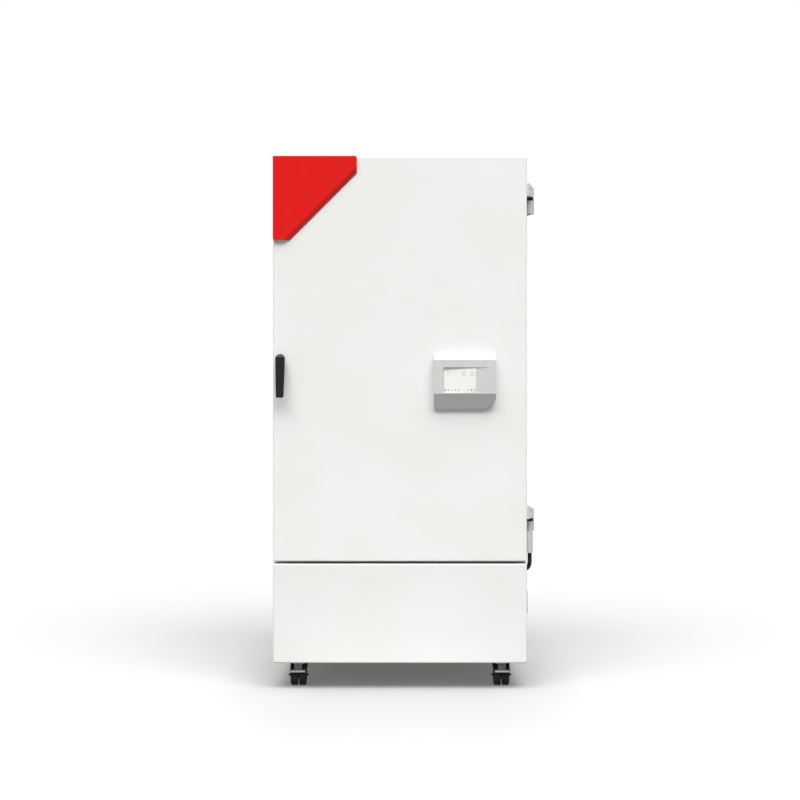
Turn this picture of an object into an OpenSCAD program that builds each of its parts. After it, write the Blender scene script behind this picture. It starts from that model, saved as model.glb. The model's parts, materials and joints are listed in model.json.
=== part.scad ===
// Environmental test chamber: a cooled, insulated cabinet on casters with a solid outer
// door, an inner glass door, three wire racks and a refrigeration set in its base.
// Millimetres, X right, Y to the rear, Z up, with the floor at z = 0.

/* [Cabinet] */
// Width of the cabinet and its door
cab_w = 925; // [860:1:1050]
// Depth from the door face to the rear panel
cab_d = 800; // [780:1:900]
// Height of the roof above the floor
cab_h = 1945; // [1920:1:2150]
// Height of the base compartment's front panel
base_h = 361; // [350:1:400]
// Clear height under the base
caster_h = 100; // [98:1:120]
// Thickness of the steel sheet
sheet_t = 1.5; // [1:0.1:2]
// Radius of the folded edges of door and base panel
edge_r = 5; // [3:0.5:8]
// Clearance between parts that must not touch
gap = 0.3; // [0.2:0.05:0.4]

/* [Chamber] */
// Width of the usable chamber
chamber_w = 650; // [620:1:680]
// Height of the usable chamber
chamber_h = 1270; // [1200:1:1290]
// Depth of the usable chamber up to the air baffle
chamber_d = 485; // [470:1:500]
// Depth of the air plenum behind the baffle
plenum_d = 75; // [70:1:85]
// Insulation below the chamber floor
floor_wall = 77; // [65:1:85]
// Insulation behind the chamber
rear_wall = 80; // [60:1:90]
// Inner radius of the chamber's long edges
liner_r = 20; // [8:1:30]
// Width and depth of the step that takes the glass door
rebate = 26; // [24:1:30]
// Thickness of the cabinet's front frame
frame_t = 6; // [4:0.5:10]

/* [Outer door] */
// Thickness of the outer door
door_t = 62; // [55:1:75]
// Space between door and cabinet that the gasket closes
seal_gap = 14; // [13:0.5:18]
// Gap between the door and the base panel
door_gap = 9; // [6:0.5:14]
// Width of the magnetic gasket
gasket_w = 26; // [20:1:32]
// Distance of the gasket from the door's side and top edges
gasket_inset = 46; // [42:1:50]
// Distance of the gasket from the door's lower edge
gasket_foot = 12; // [8:0.5:14]
// Height of the pressed field on the door's inner panel
emboss_h = 8; // [4:0.5:8]

/* [Hinges and cable] */
// Distance of the hinge axis from the cabinet side
hinge_off = 16; // [15:0.5:22]
// Radius of the hinge knuckles
knuckle_r = 15.5; // [12:0.5:15.5]
// Radius of the hinge pins
pin_r = 4; // [3:0.25:5]
// Height of the lower hinge above the floor
low_hinge_z = 577; // [560:1:620]
// Distance of the upper hinge's foot below the roof
top_hinge_drop = 201; // [180:1:260]
// Height of the lower cabinet bracket
low_bracket_h = 35; // [28:1:45]
// Height of the upper cabinet bracket
top_bracket_h = 48; // [30:1:60]
// Height of the bearing bush between the hinge halves
bush_h = 12; // [6:0.5:16]
// Height of the door's hinge knuckle
knuckle_h = 46; // [36:1:54]
// Length of the conduit below the lower hinge
conduit_h = 77; // [60:1:90]
// Wall thickness of the conduit round the hose
conduit_wall = 2.2; // [1.8:0.1:3]
// Radius of the hose that leads into the cabinet
hose_r = 8; // [6:0.25:8.5]
// Radius of the hose's bend
hose_bend = 32; // [26:1:36]
// Height at which the hose enters the cabinet
hose_z = 433; // [425:1:438]
// Direction in which the hose turns into the cabinet, from the right towards the rear
hose_turn = 120; // [110:1:130]
// Radius of the harness inside the door
harness_r = 3; // [2:0.25:4]

/* [Door handle] */
// Width of the lever at its rounded top
lever_w = 34; // [30:0.5:38]
// Width of the lever at its lower end
lever_end_w = 27.6; // [24:0.2:30]
// Length of the lever
lever_h = 159; // [140:1:175]
// Distance of the lever's lower end from the door face
lever_out = 50; // [46:1:58]
// Height of the lever's top above the floor
lever_z = 1225; // [1150:1:1300]
// Distance of the lever's middle from the door's edge
lever_inset = 28; // [26:0.5:30]
// Wall thickness of the lever moulding
lever_wall = 4; // [3:0.25:4.5]
// Radius of the lever's pivot pin
lever_pin_r = 3; // [2.5:0.1:3.5]
// Radius of the push-off plunger
plunger_r = 4; // [3:0.25:4.5]

/* [Controller] */
// Width of the controller housing
ctrl_w = 224; // [210:1:240]
// Height of the controller housing
ctrl_h = 197; // [185:1:215]
// Distance of the housing's lower front edge from the door
ctrl_out = 40; // [36:1:48]
// Middle of the housing from the middle of the door
ctrl_x = 235; // [220:1:250]
// Height of the housing's lower edge above the floor
ctrl_z = 1025; // [980:1:1080]
// Width of the display
screen_w = 116.5; // [105:0.5:125]
// Height of the display
screen_h = 86; // [78:0.5:92]
// Depth of the display recess at its left end
recess_d = 8; // [5:0.5:10]

/* [Corner plate] */
// Length of the plate along the door's top and side
plate_leg = 305; // [260:1:340]
// Length of the plate's square ends
plate_tip = 62; // [40:1:90]
// Thickness of the plate
plate_t = 12; // [8:0.5:16]
// Width of the bevel on the long edge
plate_bevel = 16; // [10:0.5:24]

/* [Inner glass door] */
// Thickness of the glass
glass_t = 6; // [5:0.5:6.5]
// Height of the glass door's seal
seal_t = 6; // [4:0.25:6]
// Radius of the latch knob
knob_r = 14; // [11:0.5:15]

/* [Racks] */
// Radius of a rack's rim
rim_r = 4; // [3:0.25:5]
// Radius of a rack's grid wires
wire_r = 1.5; // [1:0.1:2]
// Spaces between the grid wires
wire_gaps = 24; // [16:1:28]
// Distance between racks
rack_pitch = 320; // [250:1:340]
// Height of the lowest rack above the chamber floor
rack_z = 300; // [220:1:320]
// Free slide of a rack up to the runner's front stop
rack_slide = 28; // [20:1:30]

/* [Air circulation] */
// Radius of the impeller behind the baffle
impeller_r = 95; // [80:1:100]
// Height of the impeller's axis above the chamber floor
impeller_z = 960; // [860:1:1000]
// Number of impeller blades
blades = 16; // [10:1:20]
// Height of the evaporator
coil_h = 240; // [200:1:280]
// Radius of the tubular heater's loop
heater_r = 122; // [118:1:130]
// Radius of the cable port in the left side
port_r = 15; // [12:0.5:20]
// Height of the cable port above the chamber floor
port_z = 700; // [500:1:800]

/* [Casters] */
// Distance of the casters' axes from the middle, left and right
caster_x = 376; // [330:1:385]
// Distance of the casters' axes from the middle, front and rear
caster_y = 262; // [220:1:270]
// Diameter of the wheels
wheel_d = 75; // [70:1:76]
// Width of one wheel
wheel_w = 25.5; // [22:0.5:27]
// Thickness of the web between the twin wheels
web_t = 5; // [4:0.5:7]
// Distance from the swivel axis to the wheel axle
trail = 28; // [24:1:32]
// Radius of the wheel axle
axle_r = 4; // [3.5:0.25:5]
// Width of the brake pedal's foot bar
pedal_w = 53; // [46:1:56]

/* [Refrigeration set] */
// Radius of the compressor's shell
shell_r = 80; // [70:1:84]
// Height of the compressor above the base tray
shell_h = 205; // [190:1:215]
// Radius of the condenser fan
fan_r = 98; // [80:1:102]
// Radius of the copper pipes
pipe_r = 4; // [3:0.25:5]

/* [Hidden] */
$fn = 64;
run = 0.05;
hw = cab_w / 2;
front_y = -cab_d / 2;
back_y = cab_d / 2;
skin_y = front_y + door_t;
frame_y = skin_y + seal_gap;
step_y = frame_y + rebate;
baffle_y = step_y + chamber_d;
liner_y = baffle_y + plenum_d;
duct_y = liner_y + rear_wall;
base_top = caster_h + base_h;
deck_top = base_top + 2;
door_z = base_top + door_gap;
door_h = cab_h - door_z;
floor_z = deck_top + floor_wall;
roof_z = floor_z + chamber_h;
mid_z = (floor_z + roof_z) / 2;
cw = chamber_w / 2;
axis_x = hw + hinge_off;
axis_y = (skin_y + frame_y) / 2;
top_hinge_z = cab_h - top_hinge_drop;
bush_zs = [low_hinge_z + low_bracket_h, top_hinge_z + top_bracket_h];
conduit_top = low_hinge_z - 1;
conduit_r = hose_r + gap + conduit_wall;
conduit_y = skin_y - 31;
hose_end = hose_bend + 70;
field_a = [gasket_inset + gasket_w + 8 - hw, door_z + gasket_foot + gasket_w + 8];
field_b = [hw - gasket_inset - gasket_w - 8, cab_h - gasket_inset - gasket_w - 8];
lever_x = lever_inset - hw;
lever_r = lever_w / 2;
pivot_y = front_y - 21;
pivot_z = lever_z - 21;
nose_z = pivot_z + 14;
harness_y = skin_y - 31;
harness_z = conduit_top - 20;
harness = [
  [ctrl_x, front_y - 18, ctrl_z + 75],
  [ctrl_x, harness_y, ctrl_z + 75],
  [hw - 32, harness_y, ctrl_z + 75],
  [hw - 32, harness_y, harness_z],
  [axis_x - 3.5, harness_y, harness_z],
  [axis_x - 3.5, axis_y, harness_z],
  [axis_x - 3.5, axis_y, conduit_top - 28.7]
];
glass_y = step_y - seal_t - gap;
glass_axis = [cw + rebate - 5, glass_y - glass_t - 7.5];
pane_r = cw + rebate - 3;
knob_x = -cw + 8;
tongue_l = 33;
tongue_r = 5;
tongue_rise = sqrt(pow(tongue_l + tongue_r, 2) - pow(knob_x + cw + rebate, 2)) + 2;
rack_d = chamber_d - rack_slide - 17;
rack_y = baffle_y - 12 - rack_d;
rack_zs = [for (i = [0:2]) floor_z + rack_z + i * rack_pitch];
runner_x = cw - 3;
rim_x = runner_x - sheet_t - gap - rim_r;
upright_ys = [rack_y + 35, rack_y + rack_d - 45];
plenum_y = (baffle_y + sheet_t + liner_y - sheet_t) / 2;
hub_z = floor_z + impeller_z;
port_c = [baffle_y - 245, floor_z + port_z];
wheel_r = wheel_d / 2;
plate_z = caster_h - 3;
neck_z = plate_z - 5;
hood_r = wheel_r + 6.5;
wheel_in = web_t / 2 + 0.5;
hood_w = 2 * (wheel_in + wheel_w) + 2;
pedal_y = -trail - 20;
pedal_z = wheel_r + hood_r + 2.5;
bar_y = -trail - hood_r - 7;
bar_z = wheel_r + 23.5;
fan_x = -280;
cond_w = 236;
cond_a = caster_h + 60;
cond_b = caster_h + 298;
fan_z = caster_h + 179;
cond_y = back_y - 70;
shell_x = 60;
stub_x = shell_r - 54;
shell_y = 120;
box_x = hw - 30;
coil_x = cw - 89;
riser_x = cw - 40;
shaft_r = 5;
blade_shaft_r = 4;
guide_r = 7;
screw_r = 4.5;
sensor_z = hub_z + 180;
rocker_a = [frame_y + 16, caster_h + 191];
rocker_b = [frame_y + 48, caster_h + 233];
inlet_x = 315;
inlet_z = caster_h + 138;
foot_at = [88, 52];
screw_rows = [for (i = [0:5]) base_top + 20 + i * (cab_h - base_top - 40) / 5];

// Two points where the outer tangent touches circles a and b, each [x, y, radius]
function tangent(a, b) =
  let (d = [b.x - a.x, b.y - a.y],
       turn = atan2(d.y, d.x) - acos((a[2] - b[2]) / norm(d)),
       n = [cos(turn), sin(turn)])
  [[a.x, a.y] + a[2] * n, [b.x, b.y] + b[2] * n];

// Outline stretched round circles listed anticlockwise
module wrap(c) {
  polygon([for (i = [0:len(c) - 1]) each tangent(c[i], c[(i + 1) % len(c)])]);
  for (p = c) if (p[2] > 0) translate([p.x, p.y]) circle(p[2]);
}

// Rectangle with rounded corners from corner a to corner b
module panel(a, b, r) wrap([
  [a.x + r, a.y + r, r], [b.x - r, a.y + r, r], [b.x - r, b.y - r, r], [a.x + r, b.y - r, r]
]);

// Band of width w inside the rounded rectangle a to b
module band(a, b, r, w) difference() {
  panel(a, b, r);
  panel(a + [w, w], b - [w, w], max(r - w, 1));
}

// Rectangle whose upper corners only are rounded
module arch(a, b, r) wrap([
  [a.x, a.y, 0], [b.x, a.y, 0], [b.x - r, b.y - r, r], [a.x + r, b.y - r, r]
]);

module box(a, b) translate(a) cube(b - a);

// Outlines in (x, z), (y, z) and (x, y) drawn out along Y, X and Z
module wall(y0, y1) translate([0, y1, 0]) rotate([90, 0, 0]) linear_extrude(y1 - y0) children();
module side(x0, x1) translate([x0, 0, 0]) rotate([90, 0, 90]) linear_extrude(x1 - x0) children();
module slab(z0, z1) translate([0, 0, z0]) linear_extrude(z1 - z0) children();

module dot(p, r) translate(p) circle(r);

// Box with rounded front edges, front face at y = 0, standing on z = 0
module soft_front(w, t, h, r) {
  box([-w / 2, r, 0], [w / 2, t, h]);
  box([r - w / 2, 0, r], [w / 2 - r, r, h - r]);
  for (x = [r - w / 2, w / 2 - r]) {
    translate([x, r, r]) cylinder(h - 2 * r, r, r);
    for (z = [r, h - r]) translate([x, r, z]) sphere(r);
  }
  for (z = [r, h - r])
    translate([r - w / 2, r, z]) rotate([0, 90, 0]) cylinder(w - 2 * r, r, r);
}

function unit(v) = v / norm(v);

// Round rod between two points
module rod(p, q, r) {
  d = q - p;
  translate(p) rotate([0, acos(d.z / norm(d)), atan2(d.y, d.x)]) cylinder(norm(d), r, r);
}

// Quarter bend or any other bend of radius big from direction a to b at corner p
module elbow(p, a, b, big, r) {
  turn = acos(a * b);
  x = unit(a * (a * b) - b);
  w = unit(cross(a, b));
  c = p + unit(b - a) * big / cos(turn / 2);
  multmatrix([
    [x.x, a.x, w.x, c.x], [x.y, a.y, w.y, c.y], [x.z, a.z, w.z, c.z], [0, 0, 0, 1]
  ]) rotate_extrude(angle = turn) translate([big, 0]) circle(r);
}

// Pipe through the points, with bends of radius big
module pipe(pts, r, big) {
  last = len(pts) - 1;
  dir = [for (i = [0:last - 1]) unit(pts[i + 1] - pts[i])];
  cut = [for (i = [0:last]) i == 0 || i == last ? 0 : big * tan(acos(dir[i - 1] * dir[i]) / 2)];
  for (i = [0:last - 1]) rod(pts[i] + cut[i] * dir[i], pts[i + 1] - cut[i + 1] * dir[i], r);
  if (last > 1) for (i = [1:last - 1]) elbow(pts[i], dir[i - 1], dir[i], big, r);
}

module outer_jacket() color("#ececea") difference() {
  wall(frame_y, back_y - sheet_t) difference() {
    arch([-hw, caster_h], [hw, cab_h], edge_r);
    arch([sheet_t - hw, caster_h - 1], [hw - sheet_t, cab_h - sheet_t], edge_r - sheet_t);
  }
  side(-hw - 1, -hw + 5) dot(port_c, port_r + 4 + gap);
  side(hw - 5, hw + 1) grommet_outline(gap);
  side(hw - 5, hw + 1) panel(rocker_a, rocker_b, 2);
}

module rear_panel() color("#e2e2e0") {
  wall(back_y - sheet_t, back_y) difference() {
    arch([-hw, base_top], [hw, cab_h], edge_r);
    for (z = [0:13], x = [-1, 1])
      panel([x * 90 - 60, cab_h - 170 - 14 * z], [x * 90 + 60, cab_h - 164 - 14 * z], 2.9);
  }
  wall(back_y, back_y + 1.5) {
    for (x = [-1, 1], z = screw_rows) dot([x * (hw - 20), z], screw_r);
    for (z = [screw_rows[0], screw_rows[5]]) dot([0, z], screw_r);
  }
}

module rear_grille() color("#e2e2e0") wall(back_y - sheet_t, back_y) difference() {
  translate([-hw, caster_h]) square([cab_w, base_h - gap]);
  for (z = [0:17], x = [0:2])
    panel([fan_x - 118 + 80 * x, caster_h + 50 + 15 * z], [fan_x - 44 + 80 * x, caster_h + 56 + 15 * z], 2.9);
  for (z = [0:9], x = [0:1])
    panel([20 + 80 * x, caster_h + 50 + 15 * z], [94 + 80 * x, caster_h + 56 + 15 * z], 2.9);
  inlet_outline(gap);
}

module base_chassis() color("#c4c6c8") {
  difference() {
    box([sheet_t - hw, front_y + 18, caster_h], [hw - sheet_t, back_y - sheet_t, caster_h + sheet_t]);
    for (x = [-2:2]) slab(caster_h - 1, caster_h + 3)
      panel([x * 50 - 8, front_y + 90], [x * 50 + 8, front_y + 250], 7.9);
  }
  difference() {
    box([sheet_t - hw, frame_y, base_top], [hw - sheet_t, back_y - sheet_t, deck_top]);
    for (x = [-1, 1]) slab(base_top - 1, deck_top + 1) dot([x * riser_x, plenum_y], pipe_r + gap);
  }
  for (x = [-1, 1], y = [frame_y + 90, back_y - sheet_t - 24]) {
    box([x * (hw - 12) - 10.5, y, caster_h + sheet_t], [x * (hw - 12) + 10.5, y + 3, base_top]);
    box([x * (hw - 3) - 1.5, y, caster_h + sheet_t], [x * (hw - 3) + 1.5, y + 20, base_top]);
  }
}

module base_front_panel() color("#ececea") {
  difference() {
    translate([0, front_y, caster_h]) soft_front(cab_w, frame_y - front_y, base_h, edge_r);
    translate([0, front_y + sheet_t, caster_h + sheet_t])
      soft_front(cab_w - 2 * sheet_t, cab_d, base_h - 2 * sheet_t, edge_r - sheet_t);
    box([sheet_t - hw, front_y + 17, caster_h - 1], [hw - sheet_t, frame_y + 1, caster_h + 3]);
  }
  box([sheet_t - hw, front_y + 15.5, caster_h + sheet_t], [hw - sheet_t, front_y + 17, caster_h + 14]);
}

// Space that the liner takes in the insulation
module liner_room(g) {
  t = sheet_t + g;
  wall(step_y - 10, liner_y + g) panel([-cw - t, floor_z - t], [cw + t, roof_z + t], liner_r + t);
  wall(frame_y - 1, step_y + t) panel(
    [-cw - rebate - t, floor_z - rebate - t], [cw + rebate + t, roof_z + rebate + t], 4 + t);
}

// Pins of the glass door, or the holes they turn in
module glass_pins(r, over) for (z = [floor_z - rebate - 4, roof_z + rebate - 3])
  translate([glass_axis.x, glass_axis.y, z - over]) cylinder(7 + 2 * over, r, r);

module foam_insulation() color("#e8dcb0") difference() {
  wall(frame_y + frame_t, duct_y) arch([sheet_t - hw, deck_top], [hw - sheet_t, cab_h - sheet_t], edge_r);
  liner_room(gap);
  side(-hw, -cw) dot(port_c, port_r + 4 + gap);
  wall(liner_y - 1, duct_y + 1) dot([0, hub_z], shaft_r + 3);
  for (x = [-1, 1]) slab(deck_top - 1, floor_z + 1) dot([x * riser_x, plenum_y], pipe_r + gap);
  glass_pins(pin_r + gap, 3);
  latch_slot();
}

module inner_liner() color("#d3d5d6") difference() {
  liner_room(0);
  wall(step_y - 30, liner_y - sheet_t) panel([-cw, floor_z], [cw, roof_z], liner_r);
  wall(frame_y - 2, step_y) panel([-cw - rebate, floor_z - rebate], [cw + rebate, roof_z + rebate], 4);
  box([-hw, frame_y - 2, 0], [hw, frame_y, cab_h]);
  side(-hw, -cw + 40) dot(port_c, port_r + 4 + gap);
  wall(liner_y - 5, duct_y) dot([0, hub_z], shaft_r + 3);
  for (x = [-1, 1]) slab(floor_z - 5, floor_z + 5) dot([x * riser_x, plenum_y], pipe_r + gap);
  glass_pins(pin_r + gap, 3);
  latch_slot();
}

// Slot in the rebate's left wall that the latch tongue swings down into
module latch_slot() box(
  [-cw - rebate - sheet_t - 4, glass_y - glass_t - 5.2, mid_z - 8],
  [-cw - rebate + 1, glass_y - glass_t - 0.2, mid_z + tongue_rise]);

module front_frame() color("#dededc") {
  difference() {
    wall(frame_y, frame_y + frame_t) difference() {
      arch([sheet_t - hw, deck_top], [hw - sheet_t, cab_h - sheet_t], edge_r);
      panel([-cw - rebate - sheet_t - gap, floor_z - rebate - sheet_t - gap],
            [cw + rebate + sheet_t + gap, roof_z + rebate + sheet_t + gap], 4 + sheet_t + gap);
    }
    glass_pins(pin_r + gap, 3);
  }
  wall(frame_y - 6.3, frame_y) panel([lever_x - 9, nose_z - 14], [lever_x + 9, nose_z + 14], 3);
}

module glass_seal() color("#d8d8d2") {
  a = [-cw - rebate + 5, floor_z - rebate + 5];
  wall(step_y - seal_t / 2, step_y) band(a, [-a.x, roof_z + rebate - 5], 6, 14);
  wall(step_y - seal_t, step_y - seal_t / 2) band(a + [4, 4], [-a.x - 4, roof_z + rebate - 9], 5, 6);
}

module rack_supports() color("#cfd1d2") {
  for (s = [-1, 1]) {
    for (y = upright_ys) difference() {
      box([s * (cw - 1.5) - 1.5, y, floor_z + 20], [s * (cw - 1.5) + 1.5, y + 20, roof_z - 20]);
      for (z = [floor_z + 50 : 50 : roof_z - 40])
        box([s * cw - 5, y + 5, z], [s * cw + 5, y + 15, z + 5]);
    }
    for (z = rack_zs) {
      e = runner_x * s;
      inner = s * (runner_x - sheet_t);
      lip = s * (runner_x - 24);
      y0 = rack_y - rack_slide - gap - 3;
      box([min(e, inner), y0, z - 16], [max(e, inner), baffle_y - 8, z + 6]);
      box([min(e, lip), y0, z - rim_r - gap - sheet_t], [max(e, lip), baffle_y - 8, z - rim_r - gap]);
      box([min(inner, lip), y0, z - rim_r - gap], [max(inner, lip), y0 + 3, z + 3]);
    }
  }
}

module air_baffle() color("#d3d5d6") difference() {
  wall(baffle_y, baffle_y + sheet_t) difference() {
    panel([gap - cw, floor_z + gap], [cw - gap, roof_z - gap], liner_r + 1);
    for (s = [-1, 1], z = [0:25])
      panel([s * (cw - 85) - 45, floor_z + 110 + 40 * z], [s * (cw - 85) + 45, floor_z + 118 + 40 * z], 3.9);
    intersection() {
      dot([0, hub_z], impeller_r - 13);
      for (z = [-7:7]) translate([-100, hub_z + 12 * z - 3.5]) square([200, 7]);
    }
  }
  for (s = [-1, 1]) wall(baffle_y - 1, baffle_y + 5) dot([s * 60, sensor_z], 2.2);
}

// Arms that carry the condenser fan's motor
module motor_arms() for (a = [90, 210, 330]) {
  tip = [fan_x + (fan_r + 12) * cos(a), cond_y - 62, fan_z + (fan_r + 12) * sin(a)];
  rod([fan_x, tip.y, fan_z], tip, 3);
  rod(tip, tip + [0, 58, 0], 3);
  translate(tip) sphere(3);
}

module fan_motors() color("#3d4146") {
  difference() {
    union() {
      wall(duct_y, duct_y + 4) panel([-70, hub_z - 70], [70, hub_z + 70], 10);
      wall(duct_y + 4, back_y - 8) dot([0, hub_z], 46);
    }
    wall(duct_y - 1, duct_y + 20) dot([0, hub_z], shaft_r + run);
  }
  difference() {
    union() {
      wall(cond_y - 88, cond_y - 48) dot([fan_x, fan_z], 30);
      motor_arms();
    }
    wall(cond_y - 60, cond_y - 40) dot([fan_x, fan_z], blade_shaft_r + run);
  }
}

// Finned block with tubes through it: fins from x0 to x1 every step millimetres
module fin_block(x0, x1, step, y0, y1, z0, z1, rows) {
  for (x = [x0 : step : x1]) box([x, y0, z0], [x + 1, y1, z1]);
  for (i = [0:rows - 1], y = [y0 + (y1 - y0) * 0.3, y0 + (y1 - y0) * 0.7]) {
    z = z0 + (i + 0.5) * (z1 - z0) / rows;
    rod([x0 - 4, y, z], [x1 + 5, y, z], 4);
  }
  for (x = [x0 - 6, x1 + 5]) box([x, y0 - 2, z0 - 2], [x + 2, y1 + 2, z1 + 2]);
}

module evaporator_coil() color("#b9bdc0")
  fin_block(-coil_x, coil_x, 16, plenum_y - 20, plenum_y + 20, floor_z + 50, floor_z + 50 + coil_h, 5);

module heater_coil() color("#8a8378") {
  y = plenum_y - 8;
  translate([0, y, hub_z]) rotate([90, 0, 0]) rotate_extrude() translate([heater_r, 0]) circle(3.2);
  for (a = [60, 120]) rod(
    [heater_r * cos(a), y, hub_z + heater_r * sin(a)],
    [heater_r * cos(a), liner_y - sheet_t, hub_z + heater_r * sin(a)], 3.2);
}

module temperature_sensor() color("#c8cacb") {
  wall(baffle_y - 2, baffle_y) panel([-72, sensor_z - 12], [72, sensor_z + 12], 4);
  wall(baffle_y - 12, baffle_y - 2) panel([-9, sensor_z - 8], [9, sensor_z + 8], 4);
  rod([0, baffle_y - 12, sensor_z], [0, baffle_y - 62, sensor_z], 2.5);
  translate([0, baffle_y - 62, sensor_z]) sphere(2.5);
}

module port_sleeve() color("#3a3c3e") difference() {
  union() {
    side(-hw, -cw + 3) dot(port_c, port_r + 4);
    side(-hw - 3, -hw) dot(port_c, port_r + 12);
  }
  side(-hw - 4, -cw + 4) dot(port_c, port_r);
}

module port_plug() color("#c9cbc8") {
  side(-hw - 4, -cw - 8) dot(port_c, port_r - gap);
  side(-hw - 9, -hw - 3 - gap) dot(port_c, port_r + 8);
}

// Half outline of the compressor's welded shell, cut at its axis
module shell_half() difference() {
  wrap([[-5, 0, 0], [shell_r - 30, 30, 30], [shell_r - 45, shell_h - 59, 45], [-5, shell_h - 14, 0]]);
  translate([-10, -1]) square([10, shell_h]);
}

module compressor() color("#26282a") translate([shell_x, shell_y, caster_h + sheet_t]) {
  translate([0, 0, 14]) rotate_extrude() shell_half();
  feet = [for (x = [-1, 1], y = [-1, 1]) [x * foot_at.x, y * foot_at.y]];
  slab(14, 17) difference() {
    panel(-foot_at - [17, 18], foot_at + [17, 18], 14);
    for (f = feet) dot(f, 6);
  }
  for (f = feet) translate(f) {
    slab(0, 14) dot([0, 0], 13);
    slab(14, 26) dot([0, 0], 6);
    slab(17, 21) dot([0, 0], 12);
  }
  translate([shell_r - 8, 0, 120]) box([0, -30, -30], [34, 30, 30]);
  for (x = [-stub_x, stub_x]) slab(shell_h - 30, shell_h + 33.5) dot([x, 0], pipe_r + 1);
}

module condenser_coil() color("#9ea3a6") {
  fin_block(fan_x - cond_w / 2 + 6, fan_x + cond_w / 2 - 6, 14, cond_y, cond_y + 44, cond_a, cond_b, 6);
  wall(cond_y - 4, cond_y - 2) difference() {
    translate([fan_x - cond_w / 2, cond_a - 8]) square([cond_w + 1, cond_b - cond_a + 16]);
    dot([fan_x, fan_z], fan_r + 5);
  }
}

module refrigerant_pipes() color("#c07a4a") {
  top = caster_h + sheet_t + shell_h + 33.5;
  low = base_top - 45;
  coil_z = floor_z + 74;
  fins = [fan_x + cond_w / 2 + 1, cond_y + 13];
  hot_x = shell_x - stub_x;
  pipe([[hot_x, shell_y, top], [hot_x, shell_y, top + 40], [hot_x, fins.y, top + 40],
        [fins.x, fins.y, top + 40]], pipe_r, 12);
  drier = [fins.x + 70, cond_y + 31];
  pipe([[fins.x, drier.y, cond_a + 14], [drier.x, drier.y, cond_a + 14],
        [drier.x, drier.y, caster_h + 130]], pipe_r, 12);
  slab(caster_h + 130, caster_h + 240) dot(drier, 13);
  pipe([[drier.x, drier.y, caster_h + 240], [drier.x, drier.y, low], [drier.x, plenum_y, low],
        [-riser_x, plenum_y, low], [-riser_x, plenum_y, coil_z], [-coil_x - 6, plenum_y, coil_z]],
       pipe_r, 12);
  pipe([[coil_x + 7, plenum_y, coil_z], [riser_x, plenum_y, coil_z], [riser_x, plenum_y, low],
        [riser_x, shell_y, low], [shell_x + stub_x, shell_y, low], [shell_x + stub_x, shell_y, top]],
       pipe_r, 12);
}

module electronics_box() color("#b4b8bb") {
  a = [box_x - 196, frame_y + 30, caster_h + 150];
  b = [box_x, frame_y + 220, base_top - 9];
  difference() {
    box(a, b);
    box(a + [sheet_t, sheet_t, sheet_t], b - [sheet_t, sheet_t, -1]);
    hose_run(hose_r + gap);
  }
  box([a.x - 4, a.y - 4, b.z], [b.x + 4, b.y + 4, b.z + sheet_t]);
  for (i = [0:3]) box([a.x + 20 + 32 * i, a.y + 90, a.z + sheet_t], [a.x + 46 + 32 * i, a.y + 150, a.z + 80]);
  for (x = [a.x + 20, b.x - 20], y = [a.y + 20, b.y - 20])
    box([x - 4, y - 4, caster_h + sheet_t], [x + 4, y + 4, a.z]);
}

// Outline of the mains inlet's body
module inlet_outline(g) panel([inlet_x - 25 - g, inlet_z - 18 - g], [inlet_x + 25 + g, inlet_z + 18 + g], 4);

module power_inlet() color("#1f2022") {
  difference() {
    union() {
      wall(back_y - 32, back_y) inlet_outline(0);
      wall(back_y, back_y + 3) panel([inlet_x - 31, inlet_z - 30], [inlet_x + 31, inlet_z + 30], 5);
    }
    wall(back_y - 20, back_y + 4) panel([inlet_x - 16, inlet_z - 12], [inlet_x + 16, inlet_z + 12], 3);
    for (z = [-25, 25]) wall(back_y - 1, back_y + 4) dot([inlet_x, inlet_z + z], 1.8);
  }
  for (x = [-9, 0, 9]) wall(back_y - 21, back_y - 4)
    translate([inlet_x + x - 1, inlet_z - 4 - abs(x) / 3]) square([2, 8]);
}

// Plan of a hinge half: the knuckle and the leaf that reaches to y
module leaf(y) wrap(y > axis_y
  ? [[axis_x, axis_y, knuckle_r], [hw + 3.5, y, 3], [hw + 3.5, frame_y + 4, 3]]
  : [[axis_x, axis_y, knuckle_r], [hw + 3.5, skin_y - 4, 3.5], [hw + 3.5, y, 3.5]]);

module hinge_brackets() color("#c9cac9")
  for (h = [[low_hinge_z, low_bracket_h], [top_hinge_z, top_bracket_h]]) difference() {
    union() {
      slab(h[0], h[0] + h[1]) leaf(frame_y + 58);
      slab(h[0] + h[1], h[0] + h[1] + bush_h + 30) dot([axis_x, axis_y], pin_r);
      box([hw, frame_y + 6, h[0]], [hw + 2, frame_y + 58, h[0] + h[1]]);
    }
    translate([0, 0, h[0] + h[1] / 2]) side(hw + 5, hw + 40)
      for (y = [26, 46]) dot([frame_y + y, 0], 5);
  }

module hinge_bushes() color("#1c1c1d") for (z = bush_zs) slab(z, z + bush_h - gap) difference() {
  dot([axis_x, axis_y], knuckle_r - 1.5);
  dot([axis_x, axis_y], pin_r + gap);
}

module hinge_knuckles() color("#e9e9e7") for (z = bush_zs) difference() {
  slab(z + bush_h, z + bush_h + knuckle_h) leaf(skin_y - 50);
  slab(z + bush_h - 1, z + bush_h + 32) dot([axis_x, axis_y], pin_r + gap);
  translate([hw + 9, axis_y, z + bush_h + knuckle_h]) rotate([0, 32, 0])
    box([0, -80, 0], [60, 40, 30]);
  for (y = [20, 40]) translate([0, 0, z + bush_h + 22]) side(hw + 5, hw + 40) dot([skin_y - y, 0], 5);
}

module cable_conduit() color("#cfd0cf") difference() {
  slab(conduit_top - conduit_h, conduit_top) wrap([
    [hw + conduit_r, conduit_y, conduit_r], [axis_x, axis_y, conduit_r]
  ]);
  slab(conduit_top - conduit_h - 1, conduit_top - 14) dot([axis_x, axis_y], hose_r + gap);
  pipe(harness, harness_r + gap, 8);
}

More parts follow.
